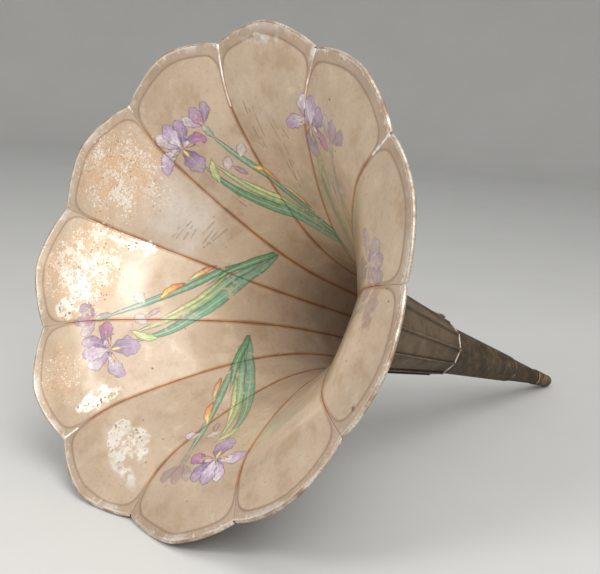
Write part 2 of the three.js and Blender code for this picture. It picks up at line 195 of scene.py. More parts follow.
def along_path(x, y, path):
    """Distance from a path, the side of it, and how far along it each point lies, from 0 to 1."""
    nearest = np.full(x.shape, 1e9)
    place = np.zeros(x.shape)
    side = np.ones(x.shape)
    gaps = np.hypot(*np.diff(path, axis=0).T)
    before = np.concatenate([[0], np.cumsum(gaps)])
    for (ax, ay), (bx, by), gap, start in zip(path, path[1:], gaps, before):
        ux, uy = (bx - ax) / gap, (by - ay) / gap
        run = np.clip((x - ax) * ux + (y - ay) * uy, 0, gap)
        away = np.hypot(x - ax - run * ux, y - ay - run * uy)
        closer = away < nearest
        nearest = np.where(closer, away, nearest)
        place = np.where(closer, (start + run) / before[-1], place)
        side = np.where(closer, np.sign((x - ax) * uy - (y - ay) * ux), side)
    return nearest, side, place


# A plain iris spray in mm on its own flat plane, with the mouth of the horn towards -y. Each blade
# is a leaf, petal or bud: what it belongs to, its colours at its foot and tip, its width, how far
# along it is widest, and the points that its middle line passes.
VIOLET, LILAC, ROSE, SILVER = (122, 94, 138), (172, 146, 176), (180, 116, 150), (214, 200, 206)
GREEN, TEAL, LIME, STRAW = (84, 142, 98), (116, 162, 134), (164, 186, 112), (210, 206, 140)
CREAM, GOLD, OCHRE = (226, 216, 204), (236, 200, 92), (212, 122, 62)
SPRAY = [
    ("leaf", GREEN, TEAL, 12, 0.5, [(4, 26), (18, 84), (54, 142), (98, 202)]),
    ("leaf", TEAL, GREEN, 8, 0.4, [(40, 6), (56, 76), (78, 140), (99, 200)]),
    ("leaf", LIME, TEAL, 9, 0.45, [(16, 34), (34, 92), (66, 144), (94, 190)]),
    ("leaf", STRAW, LIME, 6, 0.5, [(26, 62), (46, 104), (76, 148)]),
    ("leaf", GREEN, GREEN, 8, 0.6, [(62, 118), (82, 158), (100, 206)]),
    ("leaf", LIME, STRAW, 10, 0.4, [(6, 58), (10, 44), (20, 30)]),
    ("leaf", GOLD, OCHRE, 8, 0.5, [(52, 66), (62, 80), (68, 98)]),
    ("leaf", STRAW, OCHRE, 6, 0.5, [(70, 100), (78, 118), (84, 136)]),
    ("bud", CREAM, SILVER, 13, 0.55, [(25, 52), (38, 40)]),
    ("bud", CREAM, SILVER, 13, 0.55, [(50, 50), (64, 40)]),
    ("bud", ROSE, LILAC, 7, 0.5, [(34, 52), (42, 70)]),
    ("second", TEAL, SILVER, 9, 0.4, [(42, 12), (40, -12)]),
    ("second", LILAC, SILVER, 13, 0.6, [(39, -8), (30, -20), (25, -36)]),
    ("second", VIOLET, LILAC, 14, 0.6, [(43, -8), (54, -20), (57, -36)]),
    ("second", ROSE, LILAC, 16, 0.55, [(41, -6), (41, -40)]),
    ("second", OCHRE, GOLD, 3, 0.4, [(41, -6), (41, -20)]),
    ("first", LILAC, SILVER, 17, 0.62, [(-2, 0), (-12, -16), (-16, -36)]),
    ("first", VIOLET, LILAC, 17, 0.62, [(2, 0), (12, -16), (15, -38)]),
    ("first", SILVER, LILAC, 19, 0.6, [(0, 0), (-1, -20), (0, -42)]),
    ("first", SILVER, LILAC, 18, 0.6, [(-4, 2), (-22, 2), (-36, 14)]),
    ("first", VIOLET, ROSE, 18, 0.6, [(4, 2), (20, 0), (34, 9)]),
    ("first", VIOLET, LILAC, 25, 0.62, [(0, 0), (1, 18), (-1, 37)]),
    ("first", VIOLET, SILVER, 9, 0.5, [(-2, 1), (-14, -3)]),
    ("first", ROSE, SILVER, 9, 0.5, [(2, 1), (13, -4)]),
    ("first", GOLD, GOLD, 5, 0.4, [(0, 2), (0, 17)]),
    ("first", GOLD, OCHRE, 4, 0.4, [(-6, 2), (-18, 4)]),
    ("first", OCHRE, GOLD, 4, 0.4, [(6, 2), (17, 3)]),
]
# Where each spray lies: place along and round the sheets, and how much of each part is left.
TRANSFERS = [
    (74, 334, {"first": 0.95, "second": 0.85, "leaf": 0.95, "bud": 0.8}),
    (72, 250, {"first": 0.85, "second": 0.7, "leaf": 0.95, "bud": 0.7}),
    (66, 176, {"first": 0.95, "second": 0.45, "leaf": 0.9, "bud": 0.75}),
    (72, 36, {"first": 0.9, "second": 0.65, "leaf": 0.6, "bud": 0.55}),
    (56, 92, {"first": 0.55, "second": 0.3, "leaf": 0.5, "bud": 0.35}),
]
# The sheets' surface is laid flat by narrowing every turn round the horn by this much. A spray lies
# within this many degrees and between these corners.
SQUEEZE = 0.64
ROUND_REACH = 75
SPRAY_LOW, SPRAY_HIGH = np.array([-45, -50]), np.array([112, 215])
BLADE_FULLNESS = 0.72


def paint_blade(x, y, blade, mottle, streak):
    """Colour of one blade of the spray, and how much it covers."""
    _, foot, tip, width, widest, points = blade
    path = smooth_path(points)
    reach = width / 2 + 2
    near = ((x > path[:, 0].min() - reach) & (x < path[:, 0].max() + reach)
            & (y > path[:, 1].min() - reach) & (y < path[:, 1].max() + reach))
    cover = np.zeros(x.shape)
    colour = np.zeros(x.shape + (3,))
    if not near.any():
        return colour, cover
    away, side, place = along_path(x[near], y[near], path)
    bend = math.log(0.5) / math.log(widest)
    half = width / 2 * np.sin(math.pi * np.clip(place, 0.002, 1) ** bend) ** BLADE_FULLNESS
    half = half * (1 + 0.10 * np.sin(place * 19 + side * 2) + 0.16 * (mottle[near] - 0.5))
    depth = half - away
    cover[near] = np.clip(depth / 0.8 + 0.5, 0, 1)
    blend = smooth(0.1, 0.9, place + (mottle[near] - 0.5) * 0.6)[:, None]
    paint = linear(foot) * (1 - blend) + linear(tip) * blend
    veins = 1 + 0.17 * np.sin(away * 2.6 + side * place * 3) + 0.5 * (streak[near] - 0.5)
    outline = 1 - 0.75 * np.exp(-((depth - 0.4) / 0.6) ** 2)
    midrib = smooth(0.9, 0.3, away) * smooth(0.9, 0.6, place) * 0.35
    paint = paint * (veins * outline)[:, None]
    colour[near] = np.clip(paint + (linear(CREAM) - paint) * midrib[:, None], 0, 1)
    return colour, cover


def transfer(s, phi):
    """Colour and cover of the iris sprays at places on the sheets; phi in degrees from seam 0."""
    colour = np.zeros(s.shape + (3,))
    cover = np.zeros(s.shape)
    radius = np.interp(s, RUN, RADIUS)
    for place, turn, left in TRANSFERS:
        away = turned_by(phi, turn)
        swing = np.radians(away) * SQUEEZE
        start = np.interp(place, RUN, RADIUS) / SQUEEZE
        reach = radius / SQUEEZE
        flat = np.stack([reach * np.sin(swing), start - reach * np.cos(swing)], -1)
        near = (np.abs(away) < ROUND_REACH) & (flat > SPRAY_LOW).all(-1) & (flat < SPRAY_HIGH).all(-1)
        if not near.any():
            continue
        x, y = flat[near].T
        spot = np.stack([x, y, 0 * x + turn], -1)
        mottle = rough_noise(spot, 5.0, 2)
        streak = noise(spot, 2.6, 4)
        torn = rough_noise(spot, 8.0, 8)
        ink, amount = colour[near], cover[near]
        for blade in SPRAY:
            paint, c = paint_blade(x, y, blade, mottle, streak)
            c = c * left[blade[0]]
            ink = ink * (1 - c[:, None]) + paint * c[:, None]
            amount = amount + (1 - amount) * c
        amount = amount * (1 - 0.85 * smooth(0.66, 0.76, torn))
        colour[near], cover[near] = ink, amount
    return np.concatenate([colour, cover[..., None]], -1)


# Worn places are ellipses: distance along the seams, degrees round from seam 0, half length and
# half width in mm. BARE is tin showing through, PALE is dulled paint, BLOOM is a light haze and
# FLECKED is speckled with tin, with a lighter coppery tone that is partly a painted sheen.
BARE = [(46, 213, 20, 32), (50, 234, 26, 14), (80, 292, 34, 4), (26, 267, 12, 14)]
PALE = [(22, 206, 7, 24), (-8, 15, 5, 25), (3, 32, 7, 3)]
BLOOM = [(120, 312, 42, 32)]
FLECKED = [(40, 279, 46, 50), (38, 311, 52, 50), (14, 247, 30, 34)]
# Groups of scratches: distance along, degrees round, how many, their length and gap in mm, and the
# degrees that they lean from the direction of the seams.
SCRATCHES = [
    (138, 305, 4, 24, 6, 88),
    (165, 311, 4, 30, 5, 80),
    (90, 9, 3, 52, 5, 8),
    (90, 20, 3, 26, 7, 25),
    (135, 20, 3, 44, 4, 5),
    (160, 339, 2, 18, 4, 10),
    (214, 241, 2, 12, 3, 30),
]
# How flecked the two petals beside the most flecked one are, against their full amount.
FLECK_SHARE = {7: 0.5, 9: 0.8}
# The petals whose painted border has mostly gone, and a small dark chip at the mouth.
WORN_BORDERS = (7, 8, 9)
CHIP_ROUND = 125


def border_width(index):
    """The painted border is widest at the top of the mouth."""
    return 10 + 2 * math.cos(index * STEP)


def sheet_wear(index, s, v, height, aside, local, phi):
    """Painted border, seam stripes, worn places and painted shade towards the neck, on one gore's
    inside.
    """
    half = height * TAN_HALF
    to_edge = (s - edge_at(v)) * 0.93
    to_seam = half - np.abs(aside)
    wobble = noise(local, 26, 1) - 0.5
    a = to_edge - border_width(index) - wobble * 2.4
    b = to_seam - 2.5 - wobble * 0.7 - 2.2 * np.exp(-np.maximum(s, 0) / 22)
    k = np.minimum(16, half * 0.35)
    h = np.clip(0.5 + 0.5 * (b - a) / k, 0, 1)
    field = b * (1 - h) + a * h - k * h * (1 - h)
    stripe_part = smooth(18, 44, to_edge)
    border = smooth(0.7, -0.7, field)
    stripe = smooth(0.6, -0.6, b) * stripe_part
    line = np.exp(-((field + 0.6) / 1.0) ** 2) * (1 - stripe_part)
    seam = smooth(1.0, 0.4, to_seam) * stripe_part

    arc = np.interp(s, RUN, RADIUS)

    def area(patches, fuzz, seed, soft=0.1):
        total = np.zeros(s.shape)
        shake = [(rough_noise(local, 14, seed + k) - 0.5) * fuzz for k in (0, 1)]
        for along, round_at, half_long, half_wide in patches:
            x = (s - along + shake[0]) / half_long
            y = (np.radians(turned_by(phi, round_at)) * arc + shake[1]) / half_wide
            total = np.maximum(total, smooth(1 + soft, 1 - soft, np.hypot(x, y)))
        return total

    ragged = rough_noise(local, 6, 35)
    bare = area(BARE, 26, 21) * smooth(0.30, 0.46, ragged)
    pale = area(PALE, 12, 25, 0.5) * smooth(0.36, 0.62, ragged) * 0.75
    pale = np.maximum(pale, 0.5 * area(BLOOM, 40, 27, 0.8))
    pale = np.maximum(pale, 0.5 * smooth(9, 1, to_edge) * smooth(0.52, 0.72, rough_noise(local, 18, 37)))
    flecked = area(FLECKED, 34, 29, 0.5)
    scratch = np.zeros(s.shape)
    for group, (along, round_at, count, length, gap, lean) in enumerate(SCRATCHES):
        shift = np.random.default_rng(group).uniform(-0.5, 0.5, (count, 3))
        y = np.radians(turned_by(phi, round_at)) * arc
        for k, (a, b, c) in enumerate(shift):
            turn = math.radians(lean + 14 * a)
            x0, y0 = along + b * length * 0.5, (k - count / 2) * gap
            if abs(math.sin(turn)) > 0.7:
                x0, y0 = along + (k - count / 2) * gap, b * length * 0.5
            run = (s - x0) * math.cos(turn) + (y - y0) * math.sin(turn)
            off = np.abs((y - y0) * math.cos(turn) - (s - x0) * math.sin(turn))
            ends = smooth(length * (0.5 + 0.3 * c), length * (0.4 + 0.3 * c), np.abs(run))
            scratch = np.maximum(scratch, smooth(1.2, 0.4, off) * ends)
    scratch = scratch * smooth(0.25, 0.6, noise(local, 5, 33)) * 0.6
    pits = smooth(0.74, 0.82, noise(local, 2.4, 45)) * bare
    flecked = flecked * FLECK_SHARE.get(index, 1)
    rim_rub = smooth(2.2, 0.2, to_edge) * smooth(0.2, 0.55, noise(local, 9, 51))
    chips = smooth(9, 1, to_edge) * smooth(0.74, 0.82, noise(local, 2.2, 53))
    bare = np.clip(bare + chips * 0.7 + rim_rub * 0.55, 0, 1)
    border = border * (0.5 if index in WORN_BORDERS else 0.85)
    # Painted shade: the paint darkens deep inside the bell, towards the neck, along a ragged line.
    throat_shade = smooth(190, 430, s + (rough_noise(local * [1, 1, 0.3], 30, 57) - 0.5) * 110)
    chip_aside = np.radians(turned_by(phi, CHIP_ROUND)) * arc
    black_chip = smooth(3.4, 1.2, np.hypot(s + 1, chip_aside))
    wear = np.stack([border, bare, pale, np.clip(pits + scratch * 0.9 + black_chip, 0, 1)], -1)
    tone = np.stack([stripe, throat_shade, line, flecked], -1)
    wear[..., 3] = np.maximum(wear[..., 3], seam * 0.75)
    return wear, tone


# ---- building pieces ---------------------------------------------------------------------------
class Builder:
    """Collects surfaces of one piece: points in mm in the horn's own frame, faces and painted values."""

    def __init__(self):
        self.points, self.faces, self.slots, self.values = [], [], [], []
        self.count = 0

    def grid(self, points, slot=0, flip=False, close=False, **values):
        rows, columns = points.shape[:2]
        index = np.arange(rows * columns).reshape(rows, columns) + self.count
        if close:
            index = np.concatenate([index, index[:, :1]], 1)
        a, b, c, d = index[:-1, :-1], index[:-1, 1:], index[1:, 1:], index[1:, :-1]
        quads = np.stack([a, d, c, b] if flip else [a, b, c, d], -1).reshape(-1, 4)
        self.points.append(points.reshape(-1, 3))
        self.faces.append(quads)
        self.slots.append(np.full(len(quads), slot))
        self.values.append({k: v.reshape(-1, 4) for k, v in values.items()})
        self.count += rows * columns

    def cap(self, ring, slot=0, flip=False):
        """Closes the end of a tube with a small inner ring and one face."""
        middle = ring.mean(0)
        rings = np.stack([ring, middle + (ring - middle) * 0.02])
        self.grid(rings, slot, flip, close=True)

    def make(self, name, materials, body, replaces=()):
        points = to_world(np.concatenate(self.points))
        quads = np.concatenate(self.faces)
        mesh = bpy.data.meshes.new(name)
        mesh.vertices.add(len(points))
        mesh.vertices.foreach_set("co", points.astype(np.float32).ravel())
        mesh.loops.add(quads.size)
        mesh.loops.foreach_set("vertex_index", quads.astype(np.int32).ravel())
        mesh.polygons.add(len(quads))
        mesh.polygons.foreach_set("loop_start", np.arange(0, quads.size, 4, dtype=np.int32))
        mesh.polygons.foreach_set("material_index", np.concatenate(self.slots).astype(np.int32))
        mesh.update(calc_edges=True)
        mesh.polygons.foreach_set("use_smooth", np.full(len(quads), True))
        names = sorted({k for v in self.values for k in v})
        for key in names:
            data = np.concatenate([v.get(key, np.zeros((len(p), 4)))
                                   for v, p in zip(self.values, self.points)])
            layer = mesh.color_attributes.new(name=key, type="FLOAT_COLOR", domain="POINT")
            layer.data.foreach_set("color", data.astype(np.float32).ravel())
        for material in materials:
            mesh.materials.append(material)
        piece = bpy.data.objects.new(name, mesh)
        bpy.context.scene.collection.objects.link(piece)
        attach(piece, body)
        if replaces:
            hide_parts(*replaces)
        return piece


# ---- materials ---------------------------------------------------------------------------------
class Shader:
    """A Principled material built from nodes in the piece's own coordinates."""

    def __init__(self, name):
        self.material = bpy.data.materials.new(name)
        self.material.use_nodes = True
        self.tree = self.material.node_tree
        self.tree.nodes.clear()
        self.output = self.tree.nodes.new("ShaderNodeOutputMaterial")
        self.surface = self.tree.nodes.new("ShaderNodeBsdfPrincipled")
        self.tree.links.new(self.surface.outputs[0], self.output.inputs[0])
        self.place = self.tree.nodes.new("ShaderNodeTexCoord").outputs["Object"]

    def set(self, socket, value):
        if isinstance(value, bpy.types.NodeSocket):
            self.tree.links.new(value, self.surface.inputs[socket])
        else:
            self.surface.inputs[socket].default_value = value

    def put(self, socket, value):
        if isinstance(value, bpy.types.NodeSocket):
            self.tree.links.new(value, socket)
        elif isinstance(value, tuple) and len(value) == 3:
            socket.default_value = (*value, 1)
        else:
            socket.default_value = value

    def noise(self, scale, detail=4, rough=0.55, stretch=None, lean=0.0):
        node = self.tree.nodes.new("ShaderNodeTexNoise")
        node.inputs["Scale"].default_value = scale
        node.inputs["Detail"].default_value = detail
        node.inputs["Roughness"].default_value = rough
        node.inputs["Distortion"].default_value = lean
        place = self.place
        if stretch:
            mapping = self.tree.nodes.new("ShaderNodeMapping")
            mapping.inputs["Rotation"].default_value = (0, TILT, 0)
            mapping.inputs["Scale"].default_value = stretch
            self.tree.links.new(place, mapping.inputs["Vector"])
            place = mapping.outputs[0]
        self.tree.links.new(place, node.inputs["Vector"])
        return node.outputs[0]

    def cells(self, scale):
        node = self.tree.nodes.new("ShaderNodeTexVoronoi")
        node.inputs["Scale"].default_value = scale
        self.tree.links.new(self.place, node.inputs["Vector"])
        return node.outputs["Distance"]

    def step(self, value, low, high, to_low=0.0, to_high=1.0):
        node = self.tree.nodes.new("ShaderNodeMapRange")
        node.interpolation_type = "SMOOTHSTEP"
        numbers = {"From Min": low, "From Max": high, "To Min": to_low, "To Max": to_high}
        for key, number in numbers.items():
            node.inputs[key].default_value = number
        self.tree.links.new(value, node.inputs["Value"])
        return node.outputs[0]

    def math(self, how, a, b):
        node = self.tree.nodes.new("ShaderNodeMath")
        node.operation = how
        node.use_clamp = how == "ADD"
        self.put(node.inputs[0], a)
        self.put(node.inputs[1], b)
        return node.outputs[0]

    def mix(self, share, a, b, how="MIX"):
        node = self.tree.nodes.new("ShaderNodeMix")
        node.data_type = "RGBA"
        node.blend_type = how
        self.put(node.inputs[0], share)
        self.put(node.inputs[6], a)
        self.put(node.inputs[7], b)
        return node.outputs[2]

    def painted(self, name):
        node = self.tree.nodes.new("ShaderNodeAttribute")
        node.attribute_name = name
        parts = self.tree.nodes.new("ShaderNodeSeparateColor")
        self.tree.links.new(node.outputs["Color"], parts.inputs[0])
        return node.outputs["Color"], *parts.outputs, node.outputs["Alpha"]

    def bump(self, height, depth_mm, strength=1.0, below=None):
        node = self.tree.nodes.new("ShaderNodeBump")
        node.inputs["Strength"].default_value = strength
        node.inputs["Distance"].default_value = depth_mm / 1000
        self.tree.links.new(height, node.inputs["Height"])
        if below is not None:
            self.tree.links.new(below, node.inputs["Normal"])
        self.tree.links.new(node.outputs[0], self.surface.inputs["Normal"])
        return node.outputs[0]


def rgb(*colour):
    return tuple(float(x) for x in linear(colour))


def inside_paint():
    """Bronzed cream paint: border, stripes, sprays, worn tin, pits, varnish, painted inner shade and
    sheen.
    """
    m = Shader("inside_paint")
    _, border, bare, pale, dark = m.painted("Wear")
    _, stripe, throat_shade, line, flecked = m.painted("Tone")
    picture, _, _, _, cover = m.painted("Picture")
    broad = m.noise(9, 5, 0.6)
    cloud = m.noise(34, 5, 0.62)
    fine = m.noise(260, 3, 0.6)
    grain = m.noise(1100, 2, 0.5)
    field = m.mix(m.step(broad, 0.36, 0.66), rgb(194, 172, 148), rgb(182, 160, 136))
    field = m.mix(m.step(cloud, 0.48, 0.70, 0, 0.65), field, rgb(168, 141, 112))
    field = m.mix(m.step(cloud, 0.46, 0.30, 0, 0.6), field, rgb(208, 190, 166))
    field = m.mix(m.step(fine, 0.56, 0.72, 0, 0.4), field, rgb(158, 130, 100))
    # A lighter coppery tone where the paint is flecked, partly bronzed paint and partly a painted sheen.
    copper_tone_and_sheen = m.math("MULTIPLY", flecked, m.step(cloud, 0.3, 0.6, 0.2, 0.62))
    field = m.mix(copper_tone_and_sheen, field, rgb(222, 178, 138))
    brown = m.mix(m.step(cloud, 0.35, 0.7), rgb(176, 154, 134), rgb(156, 132, 110))
    brown = m.mix(m.step(fine, 0.55, 0.7, 0, 0.5), brown, rgb(180, 152, 124))
    paint = m.mix(m.math("MULTIPLY", border, m.step(cloud, 0.3, 0.62, 0.95, 0.7)), field, brown)
    paint = m.mix(m.math("MULTIPLY", line, 0.6), paint, rgb(122, 92, 70))
    orange = m.mix(m.step(cloud, 0.35, 0.65), rgb(186, 134, 88), rgb(152, 106, 72))
    hair = m.math("ABSOLUTE", m.math("SUBTRACT", m.noise(60, 4, 0.5, (1, 1.6, 0.6), 1.2), 0.5), 0)
    hair = m.math("MULTIPLY", m.step(hair, 0.0, 0.009, 1, 0), m.step(m.noise(26, 2), 0.42, 0.58, 0, 0.9))
    field = m.mix(hair, field, rgb(128, 100, 76))
    brushed = m.step(m.noise(300, 4, 0.6, (1, 1, 0.06)), 0.54, 0.7, 0, 0.35)
    field = m.mix(brushed, field, rgb(214, 198, 176))
    paint = m.mix(m.math("MULTIPLY", stripe, 0.85), paint, orange)
    paint = m.mix(cover, paint, picture)
    # Painted shade deep inside the bell: streaky darker brown, weaker over the seam stripes.
    streaks = m.noise(60, 5, 0.6, (1, 1, 0.2))
    throat_shade_tint = m.mix(m.step(streaks, 0.35, 0.7), rgb(138, 116, 98), rgb(92, 78, 66))
    paint = m.mix(m.math("MULTIPLY", throat_shade, m.step(stripe, 0, 1, 0.55, 0.3)), paint, throat_shade_tint)
    paint = m.mix(m.math("MULTIPLY", pale, m.step(fine, 0.3, 0.55, 0.6, 1)), paint, rgb(222, 217, 212))
    tin = m.mix(m.step(cloud, 0.4, 0.65), rgb(238, 230, 216), rgb(216, 204, 184))
    worms = m.math("MULTIPLY", flecked, m.step(m.noise(48, 3), 0.36, 0.62, 0.07, 0.23))
    worms = m.math("ADD", m.noise(330, 5, 0.66, None, 0.8), worms)
    fleck = m.math("MULTIPLY", m.step(worms, 0.64, 0.69), m.step(flecked, 0.05, 0.3))
    coarse = m.math("ADD", m.noise(120, 6, 0.68, None, 0.4), m.math("MULTIPLY", flecked, 0.09))
    coarse = m.math("MULTIPLY", m.step(coarse, 0.66, 0.69), m.step(flecked, 0.66, 0.95))
    fleck = m.math("MAXIMUM", fleck, coarse)
    bare = m.math("MAXIMUM", bare, m.math("MULTIPLY", fleck, 0.95))
    paint = m.mix(bare, paint, tin)
    pit = m.step(m.cells(230), 0.14, 0.27, 0.8, 0)
    pit = m.math("MULTIPLY", pit, m.step(m.noise(60, 3), 0.46, 0.56))
    pit = m.math("MULTIPLY", pit, m.step(m.math("ADD", flecked, bare), 0, 0.6, 0.12, 1.0))
    spot = m.math("MULTIPLY", m.step(m.cells(75), 0.07, 0.11, 1, 0), m.step(m.noise(22, 2), 0.55, 0.62))
    dark = m.math("ADD", dark, m.math("MAXIMUM", pit, m.math("MULTIPLY", spot, 0.8)))
    paint = m.mix(m.math("MULTIPLY", dark, 0.85), paint, rgb(104, 76, 54))
    m.set("Base Color", paint)
    bronze = m.math("MULTIPLY", m.step(cover, 0, 1, 0.26, 0.08), m.step(throat_shade, 0, 1, 1, 0.4))
    m.set("Metallic", m.math("MAXIMUM", m.math("MULTIPLY", bare, 0.5), bronze))
    rough = m.step(cloud, 0.3, 0.7, 0.38, 0.48)
    rough = m.math("ADD", rough, m.math("MULTIPLY", throat_shade, 0.12))
    rough = m.math("ADD", rough, m.math("MULTIPLY", dark, 0.3))
    m.set("Roughness", m.math("SUBTRACT", rough, m.math("MULTIPLY", bare, 0.06)))
    varnish = m.math("MULTIPLY", m.step(broad, 0.35, 0.6, 0.7, 1.0), m.step(dark, 0, 1, 1, 0))
    m.set("Coat Weight", m.math("MULTIPLY", varnish, m.step(flecked, 0.3, 1, 1, 0.35)))
    m.set("Coat Roughness", 0.15)
    waves = m.bump(m.noise(14, 2, 0.5), 1.6, 0.35)
    layers = m.math("SUBTRACT", m.step(cover, 0, 1, 0.5, 0.62), m.math("MULTIPLY", bare, 0.3))
    flakes = m.bump(layers, 0.12, 1.0, waves)
    holes = m.bump(m.math("SUBTRACT", fine, m.math("MULTIPLY", dark, 0.9)), 0.14, 0.5, flakes)
    m.bump(grain, 0.04, 0.5, holes)
    return m.material


def outside_paint():
    """Plain brown paint with painted shade beside the seams and a few light splashes."""
    m = Shader("outside_paint")
    _, shade_and_grime, rub, _, _ = m.painted("Wear")
    broad = m.noise(10, 5, 0.6)
    cloud = m.noise(45, 6, 0.65)
    streak = m.noise(120, 4, 0.6, (1, 1, 0.12))
    fine = m.noise(500, 3, 0.6)
    paint = m.mix(m.step(broad, 0.35, 0.65), rgb(112, 94, 74), rgb(86, 70, 52))
    paint = m.mix(m.step(cloud, 0.45, 0.7, 0, 0.6), paint, rgb(74, 62, 50))
    paint = m.mix(m.step(streak, 0.5, 0.72, 0, 0.4), paint, rgb(126, 111, 95))
    paint = m.mix(m.step(fine, 0.62, 0.76, 0, 0.4), paint, rgb(66, 54, 44))
    dots = m.step(m.cells(60), 0.05, 0.08, 1, 0)
    dots = m.math("MULTIPLY", dots, m.step(m.noise(16, 1), 0.56, 0.6))
    # Painted shade beside the seam folds and on their down-legs, and darker paint next to the collar.
    paint = m.mix(m.math("MULTIPLY", shade_and_grime, 0.8), paint, rgb(46, 37, 30))
    paint = m.mix(m.math("MULTIPLY", dots, 0.8), paint, rgb(172, 160, 144))
    # Lighter rubbed paint: wear at the rim edge, and along the fold crests partly a painted highlight.
    paint = m.mix(m.math("MULTIPLY", rub, m.step(fine, 0.35, 0.6)), paint, rgb(168, 150, 130))
    m.set("Base Color", paint)
    m.set("Metallic", m.math("MULTIPLY", rub, 0.35))
    m.set("Specular IOR Level", 0.28)
    m.set("Roughness", m.step(cloud, 0.3, 0.7, 0.46, 0.66))
    waves = m.bump(m.noise(16, 2), 1.4, 0.3)
    m.bump(m.math("ADD", fine, m.math("MULTIPLY", cloud, 0.6)), 0.12, 0.6, waves)
    return m.material


def rim_metal():
    """The border's brown, rubbed through to tin along the roll."""
    m = Shader("rim_worn")
    _, rub, _, _, _ = m.painted("Wear")
    cloud = m.noise(60, 5, 0.6)
    fine = m.noise(520, 3, 0.6)
    paint = m.mix(m.step(cloud, 0.35, 0.65), rgb(150, 122, 98), rgb(122, 96, 76))
    worn = m.math("MULTIPLY", rub, m.step(cloud, 0.62, 0.36, 0.35, 1.0))
    metal = m.mix(m.step(fine, 0.4, 0.65), rgb(226, 216, 202), rgb(186, 172, 154))
    m.set("Base Color", m.mix(worn, paint, metal))
    m.set("Metallic", m.math("MULTIPLY", worn, 0.7))
    m.set("Roughness", m.step(fine, 0.3, 0.7, 0.32, 0.5))
    m.bump(m.math("ADD", fine, cloud), 0.1, 0.5)
    return m.material


def mottled(name, light, mid, deep, rub_colour, rough=(0.5, 0.72)):
    """Old paint or solder with blotches, rubbed bright where the piece is marked as worn."""
    m = Shader(name)
    light, mid, deep, rub_colour = rgb(*light), rgb(*mid), rgb(*deep), rgb(*rub_colour)
    _, rub, shade_and_grime, _, _ = m.painted("Wear")
    broad = m.noise(18, 5, 0.6)
    blotch = m.noise(75, 6, 0.68, None, 0.6)
    fine = m.noise(430, 4, 0.62)
    paint = m.mix(m.step(broad, 0.35, 0.65), mid, deep)
    paint = m.mix(m.step(blotch, 0.47, 0.68), paint, light)
    paint = m.mix(m.step(fine, 0.56, 0.72, 0, 0.6), paint, deep)
    paint = m.mix(m.math("MULTIPLY", shade_and_grime, 0.7), paint, rgb(44, 36, 28))
    paint = m.mix(m.math("MULTIPLY", rub, m.step(blotch, 0.35, 0.55)), paint, rub_colour)
    m.set("Base Color", paint)
    m.set("Metallic", m.math("MULTIPLY", rub, 0.5))
    m.set("Specular IOR Level", 0.28)
    m.set("Roughness", m.step(blotch, 0.3, 0.7, *rough))
    m.bump(m.math("ADD", fine, blotch), 0.18, 0.7)
    return m.material


def metal(name, light, deep, rust, rough):
    """Bare dull metal with rust stains."""
    m = Shader(name)
    blotch = m.noise(220, 5, 0.65)
    fine = m.noise(1200, 3, 0.6)
    base = m.mix(m.step(blotch, 0.38, 0.62), rgb(*light), rgb(*deep))
    stain = m.step(blotch, 0.56, 0.68)
    m.set("Base Color", m.mix(m.math("MULTIPLY", stain, 0.75), base, rgb(*rust)))
    m.set("Metallic", m.step(stain, 0, 1, 0.95, 0.2))
    m.set("Roughness", m.step(fine, 0.3, 0.7, rough - 0.08, rough + 0.14))
    m.bump(m.math("ADD", fine, blotch), 0.08, 0.6)
    return m.material


INSIDE = inside_paint()
OUTSIDE = outside_paint()
RIM = rim_metal()
SHINY = (0.34, 0.5)
CONE = mottled("cone_paint", (100, 82, 56), (68, 54, 35), (42, 32, 20), (186, 164, 130))
SLEEVE = mottled("sleeve_paint", (112, 89, 58), (84, 65, 42), (54, 42, 27), (176, 152, 116))
COLLAR = mottled("collar_worn", (204, 190, 170), (176, 158, 136), (128, 108, 88), (232, 222, 206), SHINY)
BEAD = mottled("seam_solder", (226, 220, 212), (204, 192, 178), (160, 136, 114), (238, 234, 228), SHINY)
EYE = metal("eye_tinplate", (176, 164, 146), (132, 116, 98), (96, 76, 56), 0.42)
WIRE = metal("ring_steel", (196, 186, 172), (150, 138, 122), (108, 84, 62), 0.34)
HIDDEN = metal("rim_wire_steel", (120, 108, 94), (86, 74, 62), (88, 62, 44), 0.5)


# ---- gores -------------------------------------------------------------------------------------
def four(*columns):
    shape = np.broadcast(*columns).shape
    filled = [np.broadcast_to(np.asarray(c, float), shape) for c in columns]
    return np.stack(filled + [np.zeros(shape)] * (4 - len(filled)), -1)


COLUMNS = 121
# The rows along a gore stand close at the mouth, wider over the flare and widest in the neck.
MOUTH_END, THROAT_ROWS_FROM, THROAT_ROWS = 36, 330, 48
# The hooked fold in section: aside of the seam and height off it.
HOOK = [
    (1.6, 0.2), (1.35, 0.9), (1.05, 1.7), (0.7, 2.3), (0.2, 2.65), (-0.6, 2.75),
    (-1.3, 2.65), (-1.8, 2.35), (-2.1, 1.8), (-2.25, 1.2), (-2.2, 0.75), (-1.6, 0.7),
]


